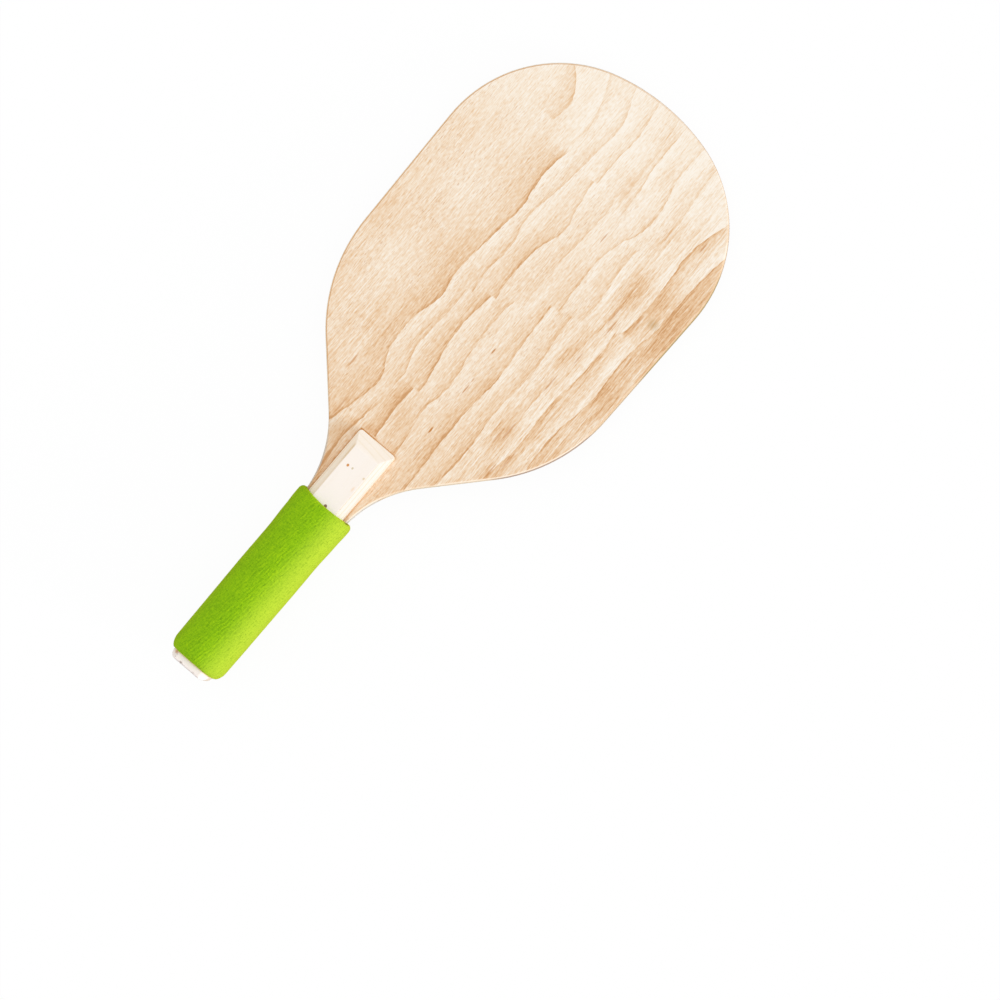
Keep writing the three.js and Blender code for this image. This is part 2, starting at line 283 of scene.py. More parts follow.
class Finish:
    """A material, with the nodes that the racket's woods and foam share."""

    def __init__(self, name, **constants):
        self.material = bpy.data.materials.new(name)
        self.material.use_nodes = True
        self.tree = self.material.node_tree
        self.shader = self.tree.nodes["Principled BSDF"]
        for socket, value in constants.items():
            self.shader.inputs[socket.replace("_", " ")].default_value = value
        object_place = self.node("ShaderNodeTexCoord", output="Object")
        scaled = {"operation": "SCALE"}
        self.place = self.node("ShaderNodeVectorMath", scaled, {0: object_place, "Scale": 1 / MM})
        apart = self.node("ShaderNodeSeparateXYZ", {}, {0: self.place})
        self.x, self.y, self.z = (apart.pick(i) for i in range(3))

    def node(self, kind, settings=None, values=None, output=0):
        made = self.tree.nodes.new(kind)
        for name, setting in (settings or {}).items():
            if name == "stops":
                set_stops(made.color_ramp, setting)
            elif name == "points":
                set_points(made.mapping, setting)
            else:
                setattr(made, name, setting)
        for name, value in (values or {}).items():
            if isinstance(value, Signal):
                self.tree.links.new(value.socket, made.inputs[name])
            else:
                made.inputs[name].default_value = value
        return Signal(self, made.outputs[output])

    def normal(self):
        """The surface's own direction, as three signals."""
        geometry = self.node("ShaderNodeNewGeometry", output="Normal")
        apart = self.node("ShaderNodeSeparateXYZ", {}, {0: geometry})
        return [apart.pick(i) for i in range(3)]

    def grain(self, lengths, seed, detail=1.0, roughness=0.5):
        """Noise about 0, from -0.5 to 0.5, whose features have these lengths in millimetres."""
        shift = (seed * 17.31, seed * 7.73, seed * 3.19)
        scale = tuple(1 / length for length in lengths)
        settings = {"operation": "MULTIPLY_ADD"}
        stretched = self.node("ShaderNodeVectorMath", settings, {0: self.place, 1: scale, 2: shift})
        values = {"Vector": stretched, "Scale": 1.0, "Detail": detail, "Roughness": roughness}
        return self.node("ShaderNodeTexNoise", {"noise_dimensions": "3D"}, values) - 0.5

    def ramp(self, signal, stops):
        return self.node("ShaderNodeValToRGB", {"stops": stops}, {0: signal})

    def mix(self, share, first, second):
        """The first colour where share is 0 and the second where it is 1."""
        values = {0: share, 6: first, 7: second}
        return self.node("ShaderNodeMix", {"data_type": "RGBA"}, values, output=2)

    def curve(self, signal, points, run, rise, handles="AUTO"):
        """The height at the signal of a line drawn through these points. run and rise are its limits."""
        (left, right), (low, high) = run, rise
        drawn = [((x - left) / (right - left), (y - low) / (high - low), handles) for x, y in points]
        share = ((signal - left) / (right - left)).clamped()
        return self.node("ShaderNodeFloatCurve", {"points": drawn}, {"Value": share}) * (high - low) + low

    def spot(self, centre, radii, edge=0.35):
        """1 inside an ellipsoid given in millimetres, fading to 0 over the share edge of its radius."""
        scale = tuple(1 / radius for radius in radii)
        shift = tuple(-place / radius for place, radius in zip(centre, radii))
        settings = {"operation": "MULTIPLY_ADD"}
        offset = self.node("ShaderNodeVectorMath", settings, {0: self.place, 1: scale, 2: shift})
        distance = self.node("ShaderNodeVectorMath", {"operation": "LENGTH"}, {0: offset}, output="Value")
        return distance.between(1.0, 1.0 - edge)

    def surface(self, colour, roughness, height, depth):
        """Feeds the shader its colour, its roughness and a relief of this depth in metres."""
        for name, signal in (("Base Color", colour), ("Roughness", roughness)):
            self.tree.links.new(signal.socket, self.shader.inputs[name])
        relief = self.node("ShaderNodeBump", {}, {"Strength": 1.0, "Distance": depth, "Height": height})
        self.tree.links.new(relief.socket, self.shader.inputs["Normal"])
        return self.material


def set_stops(ramp, stops):
    """Gives a colour ramp its stops, each a place from 0 to 1 with a grey or a colour."""
    while len(ramp.elements) < len(stops):
        ramp.elements.new(1.0)
    for element, (place, colour) in zip(ramp.elements, stops):
        element.position = place
        element.color = colour if isinstance(colour, tuple) else (colour, colour, colour, 1.0)


def set_points(mapping, drawn):
    """Draws a float curve through these points, each with two places from 0 to 1 and a kind of handle."""
    points = mapping.curves[0].points
    while len(points) < len(drawn):
        points.new(1.0, 1.0)
    for point, (across, up, handle) in zip(points, drawn):
        point.location, point.handle_type = (across, up), handle
    mapping.update()


def shade(red, green, blue):
    """A colour given as it shows on a screen, from 0 to 255, as the shader's linear values."""
    def linear(channel):
        channel /= 255
        return channel / 12.92 if channel <= 0.04045 else ((channel + 0.055) / 1.055) ** 2.4
    return (linear(red), linear(green), linear(blue), 1.0)


WOOD_TONES = [
    (0.0, shade(253, 244, 231)), (0.2, shade(249, 234, 214)), (0.4, shade(243, 219, 191)),
    (0.6, shade(236, 202, 164)), (0.8, shade(226, 182, 136)), (1.0, shade(208, 155, 102)),
]
BEECH = shade(243, 219, 193)
TAN_BEECH = shade(230, 194, 157)
FLECK_BROWN = shade(204, 148, 96)
STAIN_BROWN = shade(196, 126, 50)
# Painted contact shadow beside the cheek's +Y side and nose, and a brown mark by the mouth
CHEEK_SHADE_BROWN = shade(196, 134, 62)
END_GRAIN = shade(190, 146, 104)
SIDE_GRAIN = shade(246, 226, 198)
GLUE_LINE = shade(160, 118, 84)
SMUDGE_BROWN = shade(196, 158, 104)
# Painted shade on the rounded +Y crest, away from the lamp
RIM_CREST_SHADE = shade(216, 160, 98)
# Painted shadow on the +Y crest at the throat
RIM_SHADOW_GREY = shade(206, 196, 184)
# Painted highlight on the -Y round, which faces the lamp, and painted light at the tang's end
RIM_PAINTED_LIGHT = shade(250, 234, 214)
# Painted light on the outer +Y round, against its shade
RIM_PALE_LIGHT = shade(255, 236, 208)
# Painted shade on the -Y round beyond the shoulder
RIM_ROUND_SHADE = shade(214, 178, 138)
PALE_WOOD = shade(253, 244, 235)
PALE_WOOD_LATE = shade(241, 206, 160)
# Painted shade: warmer wood on faces towards +Y, away from the lamp
SHADED_SIDE_WARM = shade(255, 240, 219)
# Painted shade: greyer wood on faces towards -Y, which the lamp lights
LIT_SIDE_GREY = shade(232, 226, 219)
# Painted shade along the arris of the +Y chamfer
BROW_SHADE_OLIVE = shade(232, 200, 152)
# The butt's pinkish tone, painted paler as painted light against the foam's shade
BUTT_TONE_AND_LIGHT = shade(255, 244, 239)
# Painted light on the cheek's top by the sleeve's mouth, against the foam's shade
MOUTH_PAINTED_LIGHT = shade(255, 244, 240)
NOSE_LATE = shade(238, 220, 188)
# Painted shadow of the sleeve's butt end on the cheek
FOAM_EDGE_SHADOW = shade(250, 206, 156)
FOAM_LIME = shade(139, 191, 18)
FOAM_DEEP = shade(108, 160, 14)
FOAM_LIGHT = shade(170, 214, 20)
# Painted light: yellower, paler foam on the -Y side, where the lamp falls
FOAM_LIT_YELLOW = shade(194, 218, 62)
FOAM_SHEEN = shade(255, 240, 60)
FOAM_SHADOW = shade(62, 84, 22)

# Growth rings of the front face: how dark each one's edge is, how dark the wood beside it, how far that
# reaches across (towards -Y if negative), where along the blade it starts, is full, fades and ends, and
# places along and across the blade that the edge passes, in millimetres
FRONT_RINGS = [
    (0.36, 0.26, 22, (150, 152, 374, 385), [
        (150, 35.5), (167, 32), (185, 27.5), (197, 24.8), (204, 24), (209, 24.8), (213, 27),
        (220, 30.8), (229, 33.2), (247, 33), (258, 30.4), (268, 28.6), (276, 29.8), (283, 31),
        (306, 29.5), (320, 28), (338, 26.3), (352, 28), (362, 29), (372, 28.2), (381, 26.6),
        (390, 24.5),
    ]),
    (0.15, 0.08, -10, (384, 398, 440, 441), [(390, 28.5), (406, 28), (418, 31), (430, 36), (440, 42)]),
    (0.42, 0.15, 6, (138, 148, 186, 203), [
        (138, 16.6), (150, 18.2), (160, 19), (170, 19), (180, 17.6), (190, 16.5), (197, 15.2),
        (205, 14),
    ]),
    (0.24, 0.1, 8, (203, 214, 279, 280.4), [
        (200, 15.6), (206, 15.6), (213, 15.4), (220, 15.8), (231, 19.8), (244, 20.5), (262, 19.2),
        (282, 19.5),
    ]),
    (0.24, 0.12, 10, (280.6, 282, 440, 441), [
        (279, 15.2), (297, 17.5), (316, 16), (335, 19.5), (365, 15.5), (390, 13.5), (405, 12),
        (414, 12), (427, 16), (440, 21.5),
    ]),
    (0.16, 0.0, 6, (224, 234, 284, 300), [
        (220, 19.5), (231, 22.6), (244, 23), (262, 20.6), (279, 22), (300, 20),
    ]),
    (0.4, 0.26, 11, (177, 178.2, 213.8, 215), [
        (170, 3.8), (178, 4.3), (190, 5.4), (200, 6), (208, 5.7), (218, 4.8),
    ]),
    (0.38, 0.24, 13, (214, 215.4, 285.6, 287), [
        (212, 1.2), (222, 2), (230, 3.2), (243, 6.2), (252, 7.4), (260, 7.9), (272, 7.2), (290, 5.4),
    ]),
    (0.3, 0.2, 12, (286, 287.4, 377, 378.4), [
        (284, 2.2), (305, 4.4), (325, 3), (345, -2.4), (362, 1), (372, 2.6), (380, 2.8),
    ]),
    (0.22, 0.09, 11, (377.4, 379, 440, 441), [
        (376, 0.7), (398, 1), (414, -0.2), (428, 1.6), (440, 3.6),
    ]),
    (0.24, 0.12, 9, (150, 155, 291, 293.5), [
        (150, -13), (182, -11.3), (200, -8.6), (213, -7.8), (220, -9.6), (236, -10), (249, -7.4),
        (262, -5.8), (285, -6), (296, -8.2),
    ]),
    (0.16, 0.08, 9, (293, 295, 376, 378), [
        (291, -14.3), (300, -13), (306, -12.4), (315, -11.6), (335, -13), (358, -14.8), (380, -14),
    ]),
    (0.1, 0.06, 8, (377, 379, 440, 441), [(376, -17.6), (410, -16), (440, -12)]),
    (0.26, 0.16, 9, (374, 376.5, 430, 440), [
        (372, -23), (380, -22.5), (390, -21.8), (400, -20.2), (415, -19), (440, -19),
    ]),
    (0.36, 0.2, 11, (150, 155, 303, 306), [
        (150, -30.5), (180, -29.3), (200, -28.2), (215, -28), (235, -28.4), (248, -29.8), (262, -29),
        (275, -27.7), (300, -26), (310, -26),
    ]),
    (0.26, 0.14, 10, (304, 306, 440, 441), [
        (300, -31.8), (312, -31), (325, -30), (346, -30), (360, -33.4), (372, -38.2), (385, -39.6),
        (393, -39), (406, -35.5), (414, -34.7), (440, -35.5),
    ]),
    (0.24, 0.16, 10, (150, 160, 307, 308.6), [
        (150, -40), (180, -42), (200, -43.7), (215, -42.8), (230, -41.4), (250, -42.2), (265, -43),
        (282, -42), (297, -39.9), (312, -39.6),
    ]),
    (0.18, 0.08, 8, (308, 310, 362, 363.6), [(305, -45.2), (330, -46), (347, -43.5), (366, -43.8)]),
    (0.18, 0.1, 9, (362.4, 364, 440, 441), [
        (360, -51.3), (375, -51.8), (392, -52.4), (400, -51.2), (410, -50), (440, -48.5),
    ]),
    (0.18, 0.12, 8, (236, 256, 376, 396), [
        (230, -54.6), (262, -55), (300, -55.5), (322, -58), (350, -57), (365, -56.2), (378, -55.3),
        (400, -57.5),
    ]),
    (0.2, 0.18, -9, (196, 202, 316, 318), [
        (195, -61), (203, -61.6), (213, -63), (222, -64.4), (250, -63.7), (262, -63.3), (282, -65.6),
        (300, -66.3), (320, -64.6),
    ]),
    (0.32, 0.3, -12, (317, 322, 410, 424), [
        (314, -65.5), (325, -69.5), (335, -70), (347, -70.3), (362, -69.3), (378, -68), (385, -68.6),
        (392, -70), (400, -72), (408, -74.4), (425, -79),
    ]),
    (0.24, 0.26, -34, (205, 215, 440, 441), [
        (205, -80), (223, -77.4), (238, -76.2), (252, -76.8), (262, -78.7), (268, -79.6), (280, -80.6),
        (290, -80), (303, -79.4), (312, -79.8), (322, -80.6), (331, -82.6), (350, -83.3), (372, -84),
        (388, -86), (420, -91),
    ]),
    (0.24, 0.22, 20, (390, 391.6, 440, 441), [
        (385, 46.5), (391, 45.6), (397, 44.6), (403, 44.2), (409, 45.4), (415, 48.9), (421, 54),
        (428, 63), (440, 82),
    ]),
]
RING_RUN = (100, 450)
RING_RISE = (-110, 110)
PALE_REACH = 7
PALE_SHARE = 0.42
TONE_LIMITS = (-0.5, 1.5)

# Marks of the -Y rim: where along the blade each starts, is full, fades and ends, its colour and share
# The third is painted shade, and the fifth is painted shade with an olive reflection of the grip
RIM_TONES_AND_SHADE = [
    ((124, 130, 146, 154), shade(232, 224, 214), 0.9), ((148, 156, 200, 206), shade(246, 226, 198), 0.9),
    ((202, 210, 256, 264), shade(190, 164, 146), 0.9), ((260, 266, 298, 306), shade(220, 192, 156), 0.8),
    ((298, 312, 378, 388), shade(188, 160, 106), 0.9),
]

# Broad darker and paler places of the front face: centres and half lengths in millimetres, and how much
# darker each is
# The patch at (144, 17), beside the cheek's +Y side, is partly painted shade
TONE_PATCHES = [
    ((228, -52), (22, 10), 0.33), ((287, -52.5), (14, 7), 0.22), ((343, -60), (20, 13), 0.26),
    ((344, -76), (32, 12), 0.16), ((351, -91), (57, 15), 0.43), ((386, -66), (24, 20), 0.22),
    ((204, -61), (14, 9), 0.2), ((263, 66), (24, 22), -0.1), ((208, 66), (14, 12), -0.12),
    ((322, 62), (17, 20), -0.07), ((350, 50), (17, 13), 0.08), ((366, 70), (30, 30), 0.11),
    ((296, 37), (18, 10), 0.14), ((172, 12), (16, 10), 0.18), ((202, 7), (22, 11), 0.24),
    ((190, -1), (20, 7), 0.2), ((166, 23), (16, 13), 0.12), ((144, 17), (30, 5.5), 0.34),
    ((286, 88), (26, 10), 0.12), ((294, -20), (26, 22), -0.1), ((258, -78), (30, 8), -0.16),
    ((300, -78), (14, 8), -0.16), ((412, 32), (28, 16), -0.08), ((388, -14), (15, 7), 0.14),
    ((408, -28), (18, 7), 0.12), ((404, -45), (22, 8), 0.14), ((376, 2), (20, 14), -0.14),
    ((386, -55), (18, 6), 0.1), ((334, -39), (14, 5), 0.12), ((280, -89), (26, 6), 0.15),
]

# Longer brown flecks of the front face: centres and half lengths in millimetres, and how strong each is
LONG_FLECKS = [
    ((204, 44.3), (6.5, 0.7), 0.62), ((202, -18.6), (3.2, 0.75), 1), ((234, -18.7), (4.6, 0.55), 0.75),
    ((241, -18.4), (2.2, 0.5), 0.5), ((262, -16.7), (2.8, 0.7), 0.88), ((356, -23.3), (5, 0.7), 0.5),
    ((226, -51.6), (8, 0.8), 0.44), ((231, -54.8), (9, 0.9), 0.56), ((269, -55.2), (8, 0.7), 0.5),
    ((325, -58), (9, 0.8), 0.5), ((291, -58.4), (6, 0.7), 0.44), ((330, -71.6), (8, 1), 0.44),
    ((206, -61.6), (7, 0.8), 0.5), ((218, -66), (9, 0.9), 0.44), ((389, -72.6), (5, 0.8), 0.62),
    ((318, -61.4), (7, 0.8), 0.56), ((186, -21.6), (5, 0.6), 0.38), ((179, 32.5), (9, 0.7), 0.5),
]

# A grey-brown smudge of the front face: its centre and half lengths in millimetres, and how strong it is
SMUDGE_PLACE, SMUDGE_SIZE, SMUDGE_SHARE = (335, -79.5), (5, 5.5), 0.6

# One growth ring of the straight-grained back, and one of the cheeks: how dark each is from start to end
BACK_RING = [(0.0, 0.06), (0.78, 0.12), (0.9, 0.42), (0.965, 0.95), (1.0, 0.1)]
CHEEK_RING = [(0.0, 0.0), (0.66, 0.1), (0.86, 0.75), (0.94, 1.0), (1.0, 0.0)]

# Specks and stains of the cheeks: centres and half lengths in millimetres, how much of each is soft edge,
# its colour and its share
CHEEK_SPECKS = [
    ((154.3, 4.5, 13), (1.15, 1.0, 3), 0.4, shade(212, 136, 44), 0.93),
    ((154.6, 1.1, 13), (1.0, 0.8, 3), 0.5, shade(190, 168, 104), 0.6),
    ((154.1, -8.1, 13), (1.1, 0.9, 3), 0.5, shade(216, 182, 108), 0.5),
    ((145.2, -7.1, 13), (3.0, 1.1, 3), 1.0, shade(246, 208, 168), 0.6),
    ((127.0, -1.1, 13), (1.5, 1.25, 3), 0.35, shade(118, 72, 14), 0.9),
    ((0.9, 4.5, 12), (1.0, 1.7, 3), 0.8, shade(128, 96, 80), 0.7),
    ((0.9, -5.2, 12), (0.9, 1.4, 3), 0.9, shade(180, 162, 150), 0.5),
    # Painted shade at the butt's +Y corner beside the foam
    ((4.0, 10.6, 11), (1.7, 2.6, 3), 0.8, shade(206, 146, 88), 0.8),
]


def ring_tone(wood, height, ring):
    """How much one growth ring darkens the wood: a thin sharp edge and a band that fades away from it."""
    line, band, reach, (start, full, fading, end), points = ring
    reach, side = abs(reach), 1 if reach > 0 else -1
    profile = [
        (-PALE_REACH, 0.0), (-0.35, -PALE_SHARE * line), (0.0, 0.0), (0.2, line + band),
        (0.9, 0.55 * line + band), (2.2, band * 0.9), (reach * 0.5, band * 0.55), (reach, 0.0),
    ]
    away = (height - wood.curve(wood.x, points, RING_RUN, RING_RISE)) * side
    tone = wood.curve(away, profile, (-PALE_REACH, reach), TONE_LIMITS, handles="VECTOR")
    return tone * wood.x.between(start, full) * wood.x.between(end, fading)


def front_tone(wood, streak):
    """How dark the front is: growth rings, broad patches, and streaks that are stronger in places."""
    wobble = wood.grain((5, 4, 300), 8) * 1.5 + wood.grain((1.8, 1.8, 300), 14) * 0.5
    height = wood.y + wobble
    figure = sum(ring_tone(wood, height, ring) for ring in FRONT_RINGS)
    uneven = wood.grain((26, 16, 300), 9).between(-0.25, 0.2) * 0.6 + 0.6
    far_shoulder = wood.y.between(*SHOULDER_Y) * wood.x.between(*SHOULDER_X)
    streaky = wood.y.between(*STREAKED_Y) * 0.42 + far_shoulder * 0.15 + 0.52
    paler_tip = wood.x.between(*TIP_X)
    base = 0.365 + wood.x.between(*THROAT_X) * 0.13 - paler_tip * 0.2
    patches = sum(
        wood.spot((x, y, FACE_HEIGHT), (long, wide, PATCH_DEPTH), edge=1.0) * darker
        for (x, y), (long, wide), darker in TONE_PATCHES
    )
    return base + patches + figure * uneven + streak * streaky * (1.0 - paler_tip * 0.3)


def back_tone(wood, streak):
    """How dark the back is: straight growth rings that fan out a little towards the crown."""
    fan = 1 + (wood.x - FAN_PLACE) * FAN
    sway = wood.grain((120, 60, 300), 10) * 9 + wood.grain((14, 12, 300), 11) * 1.3
    across = (wood.y + BACK_MIDDLE + sway) / fan
    uneven = across / BACK_RING_WIDTH + wood.grain((900, 11, 900), 12) * 1.4
    rings = wood.ramp(uneven.fraction(), BACK_RING)
    broken = wood.grain((16, 30, 300), 13, detail=2.0).between(-0.16, 0.1) * 0.7 + 0.3
    return 0.26 + rings * broken * 0.55 + streak * 0.5


def front_marks(wood, colour, short):
    """The front's colour with its longer flecks and its smudge."""
    for (x, y), (long, wide), share in LONG_FLECKS:
        spot = wood.spot((x, y, FACE_HEIGHT), (long, wide, MARK_DEPTH), edge=0.6)
        colour = wood.mix(spot * (short + 1.1).clamped() * share, colour, STAIN_BROWN)
    smudge = wood.spot((*SMUDGE_PLACE, FACE_HEIGHT), (*SMUDGE_SIZE, PATCH_DEPTH), edge=1.0)
    return wood.mix(smudge * SMUDGE_SHARE, colour, SMUDGE_BROWN)


def cheek_shade_and_stain(wood, short):
    """How much painted contact shadow lies beside the cheek's +Y side and nose, with a brown mark by the
    mouth.
    """
    to_cheek = (abs(wood.y) - CHEEK_HALF).larger(wood.x - CHEEK_END)
    # Painted shadow along the cheek's +Y side and at its nose; near the mouth's -Y corner a brown mark
    close = to_cheek.between(*BESIDE_REACH) * (short + 0.36) + to_cheek.between(*CLOSE_REACH) * 0.4
    beside = close * wood.y.between(*BESIDE_Y) * wood.x.between(*BESIDE_X)
    contact_shade = to_cheek.between(*CONTACT_SHADE_REACH) * wood.y.between(*CONTACT_SHADE_Y) * 0.7
    corner = to_cheek.between(*CORNER_REACH) * wood.y.between(*CORNER_Y)
    near_corner = corner * wood.x.between(*CORNER_X) * 0.4
    return (beside + contact_shade + near_corner).clamped() * wood.x.between(*CHEEK_SHADE_AND_STAIN_X)


def beech_face(name, side):
    """Sanded beech veneer. side is 1 for the front, with its wavy figure, and -1 for the plainer back."""
    wood = Finish(name)
    long_streak = wood.grain((24, 1.15, 3), 1, detail=1.5, roughness=0.6)
    streak = long_streak * 1.1 + wood.grain((8, 0.75, 3), 15) * 0.5
    short = wood.grain((4, 0.7, 2), 5)
    mottle = wood.grain((1.4, 1.5, 3), 6) * 0.24 + wood.grain((1.3, 14, 3), 7) * 0.07
    cloud = wood.grain((46, 22, 60), 2, detail=2.0)
    pores = wood.grain((3.8, 0.62, 1.2), 3)
    density = wood.grain((30, 14, 40), 4)
    below_crown = wood.x.between(*CROWN_X) * 0.75 + 0.25
    fleck = pores.between(0.11, 0.2) * density.between(-0.16, 0.16) * below_crown
    tone = front_tone(wood, streak) if side > 0 else back_tone(wood, streak)
    tone = (tone + cloud * 0.3 + short * 0.85 + mottle).clamped()
    fleck_share = wood.y.between(*FLECKED_Y) * 0.16 + 0.34
    colour = wood.mix(fleck * fleck_share, wood.ramp(tone, WOOD_TONES), FLECK_BROWN)
    if side > 0:
        colour = front_marks(wood, colour, short)
    # Painted contact shadow beside the cheek, and a brown mark by the mouth
    colour = wood.mix(cheek_shade_and_stain(wood, short), colour, CHEEK_SHADE_BROWN)
    colour = rim_colour(wood, colour, along_grain=True)
    relief = short * 0.4 + streak * 0.3 - fleck * 0.4
    return wood.surface(colour, 0.56 + fleck * 0.16, relief, FACE_RELIEF)


def rim_colour(wood, flat, along_grain):
    """The ply's colour, with side or end grain on the rim and a dark line along each glue joint there."""
    # On the rounded rim this paints shade on the +Y side, away from the lamp, and light and shade on the
    # -Y side, which faces it
    across_x, across_y, up = wood.normal()
    toward_end = across_x if along_grain else across_y
    streak = wood.grain((2.2, 2.2, 0.35), 21, detail=2.0)
    pore = wood.grain((0.5, 0.5, 0.3), 22).between(0.04, 0.2)
    end_share = (toward_end ** 2 + streak * 0.5 + pore * 0.25).clamped()
    edge = wood.mix(end_share, SIDE_GRAIN, END_GRAIN)
    to_glue = abs(abs(wood.z) - GLUE_INNER).smaller(abs(abs(wood.z) - GLUE_OUTER))
    glued = wood.mix(to_glue.between(*GLUE_REACH) * 0.5, edge, GLUE_LINE)
    lean = (across_x ** 2 + across_y ** 2) ** 0.5
    facing = across_y / lean.larger(0.02)
    far, near = facing.between(-0.4, 0.3), facing.between(0.3, -0.4)
    # Painted shade and reflection on the -Y edge, as listed above, with its own paler and tan tones
    for (start, full, fading, end), stain_and_shade, share in RIM_TONES_AND_SHADE:
        rim_marked = near * wood.x.between(start, full) * wood.x.between(end, fading)
        glued = wood.mix(rim_marked * share, glued, stain_and_shade)
    along = wood.x
    crest, outer = lean.between(0.0, 0.16), lean.between(0.35, 0.8)
    # Painted shade on the +Y crest, away from the lamp
    shaded_crest = crest * (1.0 - outer) * far * (streak * 0.8 + 0.95).clamped() * along.between(*SHADED_CREST_X)
    flat = wood.mix(shaded_crest * (along.between(*SHADED_CREST_FADE_X) * 0.4 + 0.58), flat, RIM_CREST_SHADE)
    # Painted light on the outer +Y round, against its shade
    flat = wood.mix(outer * far * along.between(*PALE_X) * 0.85, flat, RIM_PALE_LIGHT)
    # Painted shadow on the +Y crest at the throat
    flat = wood.mix(crest * far * along.between(*SHADOWED_THROAT_X) * 0.85, flat, RIM_SHADOW_GREY)
    beside_nose = along.between(*NOSE_LOW_X) * along.between(*NOSE_HIGH_X)
    # Painted highlight on the -Y round, which faces the lamp
    highlighted = lean.between(0.15, 0.45) * (1.0 - beside_nose * crest * 0.6)
    flat = wood.mix(highlighted * near * along.between(*HIGHLIGHT_X) * 0.8, flat, RIM_PAINTED_LIGHT)
    # Painted shade on the -Y round beyond the shoulder
    shaded_round = lean.between(0.1, 0.6) * near * along.between(*ROUND_SHADE_X)
    flat = wood.mix(shaded_round * (along.between(*ROUND_SHADE_FADE_X) * 0.5 + 0.2), flat, RIM_ROUND_SHADE)
    # Painted light on the rim at the tang's end, against its shade
    glued = wood.mix(along.between(*TANG_END_X) * 0.85, glued, RIM_PAINTED_LIGHT)
    return wood.mix(abs(up).between(0.75, 0.4), flat, glued)


def ply_edge(name, along_grain):
    """An inner ply, of which only the rim shows."""
    wood = Finish(name)
    fine = wood.grain((6, 6, 0.5), 31, detail=3.0)
    flat = wood.ramp((fine + 0.5).clamped(), [(0.2, BEECH), (0.8, TAN_BEECH)])
    colour = rim_colour(wood, flat, along_grain)
    pore = wood.grain((0.5, 0.5, 0.3), 22).between(0.04, 0.2)
    return wood.surface(colour, 0.7 + fine * 0.2, fine * 0.6 - pore, EDGE_RELIEF)


def cheek_finish(name):
    """Pale close-grained wood. Its growth layers lie flat and show where a chamfer or bevel cuts them."""
    wood = Finish(name)
    sway = wood.grain((60, 16, 30), 41) * 1.1 + wood.grain((16, 5, 5), 42) * 0.25
    layer = ((abs(wood.z) + wood.y * 0.08 + sway - 0.05) / CHEEK_LAYER).fraction()
    late = wood.ramp(layer, CHEEK_RING)
    fine = wood.grain((14, 0.6, 0.6), 43, detail=3.0, roughness=0.6)
    cloud = wood.grain((24, 10, 20), 44)
    toward_x, toward_y, up = wood.normal()
    slope = 1.0 - abs(up)
    # Painted shade on faces towards +X, which the lamp lights; on slopes towards +Y, away from it, the
    # layers are painted weaker, as painted light
    lamp_side_dimmed = toward_x.between(0.1, 0.5) * 0.24
    layered = slope * (1.9 - toward_y.between(0.1, 0.6) * 1.3) + 0.04
    tone = (late * layered + lamp_side_dimmed + fine * 0.2 + cloud * 0.2).clamped()
    # Painted shade: greyer wood on faces towards -Y, which the lamp lights
    lit_side_greyed = wood.mix(toward_y.between(-0.1, -0.5) * 0.9, PALE_WOOD, LIT_SIDE_GREY)
    # Painted shade: warmer wood on faces towards +Y, away from the lamp
    shade_warmed = wood.mix(toward_y.between(0.1, 0.6), lit_side_greyed, SHADED_SIDE_WARM)
    line = abs(wood.y + sway * 0.3 - CHEEK_LINE).between(*CHEEK_LINE_REACH)
    late_colour = wood.mix(toward_x.between(0.1, 0.3), PALE_WOOD_LATE, NOSE_LATE)
    colour = wood.mix(tone, shade_warmed, late_colour)
    line_share = line * toward_y.between(0.1, 0.4) * wood.x.between(*CHEEK_LINE_X) * 0.4
    colour = wood.mix(line_share, colour, PALE_WOOD_LATE)
    # Painted shade along the arris of the +Y chamfer
    brow_shade = abs(wood.y - CHEEK_BROW).between(*BROW_REACH) * (wood.x.between(*BROW_X) * 0.4 + 0.24)
    colour = wood.mix(brow_shade * wood.x.between(*BROW_FADE_X), colour, BROW_SHADE_OLIVE)
    # Painted light on the cheek's top by the sleeve's mouth, against the foam's shade
    colour = wood.mix(wood.x.between(*MOUTH_LIGHT_X) * up.between(0.9, 0.99), colour, MOUTH_PAINTED_LIGHT)
    # The butt's pinkish tone, painted paler as painted light against the foam's shade
    colour = wood.mix(wood.x.between(*BUTT_X) * 0.9, colour, BUTT_TONE_AND_LIGHT)
    # Painted shadow of the sleeve's butt end on the cheek
    foam_edge_shadow = wood.x.between(*FOAM_EDGE_LOW_X) * wood.x.between(*FOAM_EDGE_HIGH_X)
    colour = wood.mix(foam_edge_shadow * 0.6, colour, FOAM_EDGE_SHADOW)
    for centre, radii, edge, stain_and_shade, share in CHEEK_SPECKS:
        colour = wood.mix(wood.spot(centre, radii, edge) * share, colour, stain_and_shade)
    return wood.surface(colour, 0.58 + fine * 0.2, fine * 0.5 - late * 0.25, CHEEK_RELIEF)


